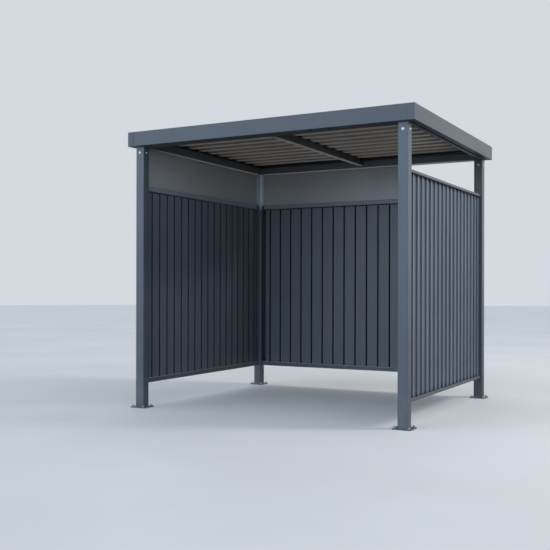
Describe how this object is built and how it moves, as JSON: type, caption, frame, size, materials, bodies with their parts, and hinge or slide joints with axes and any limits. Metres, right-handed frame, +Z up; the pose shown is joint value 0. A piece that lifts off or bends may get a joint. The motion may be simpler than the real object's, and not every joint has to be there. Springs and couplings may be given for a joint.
{
  "type": "bike shelter",
  "caption": "Flat-roofed bicycle shelter in coated steel, open at the front, with ribbed sheet walls between square posts and a deep folded fascia.",
  "frame": {"origin": "on the ground at the middle of the shelter's plan, under the middle of the roof", "axes": "+X along the open front from left to right as seen from the front, +Y from the open front to the back wall, +Z up"},
  "size_m": [2.251, 1.92, 2.065],
  "materials": {
    "plate_coat": "fine matt powder coat",
    "frame_coat": "fine matt powder coat",
    "roof_coat": "matt coil coat",
    "fascia_coat": "fine matt powder coat",
    "cladding_coat": "matt coil coat",
    "sheet_coat": "satin powder coat",
    "bolt_steel": "plain stainless steel of the bolts"
  },
  "bodies": {
    "root": {"base_plate_front_left": "plate_coat", "base_plate_front_right": "plate_coat", "base_plate_back_left": "plate_coat", "base_plate_back_right": "plate_coat", "post_front_left": "frame_coat", "post_front_right": "frame_coat", "post_back_left": "frame_coat", "post_back_right": "frame_coat", "beam_left": "frame_coat", "beam_right": "frame_coat", "beam_front": "frame_coat", "beam_back": "frame_coat", "beam_middle": "frame_coat", "roof_bearer_left": "frame_coat", "roof_bearer_right": "frame_coat", "roof_bearer_front": "frame_coat", "roof_bearer_back": "frame_coat", "roof_bearer_middle": "frame_coat", "roof_sheet": "roof_coat", "fascia_front": "fascia_coat", "fascia_back": "fascia_coat", "fascia_left": "fascia_coat", "fascia_right": "fascia_coat", "fascia_corner_front_left": "fascia_coat", "fascia_corner_front_right": "fascia_coat", "fascia_corner_back_left": "fascia_coat", "fascia_corner_back_right": "fascia_coat", "left_bottom_rail": "frame_coat", "left_middle_rail": "frame_coat", "left_cladding": "cladding_coat", "left_upper_sheet": "sheet_coat", "back_bottom_rail": "frame_coat", "back_middle_rail": "frame_coat", "back_cladding": "cladding_coat", "back_upper_sheet": "sheet_coat", "right_bottom_rail": "frame_coat", "right_top_rail": "frame_coat", "right_cladding": "cladding_coat"}
  },
  "joints": []
}
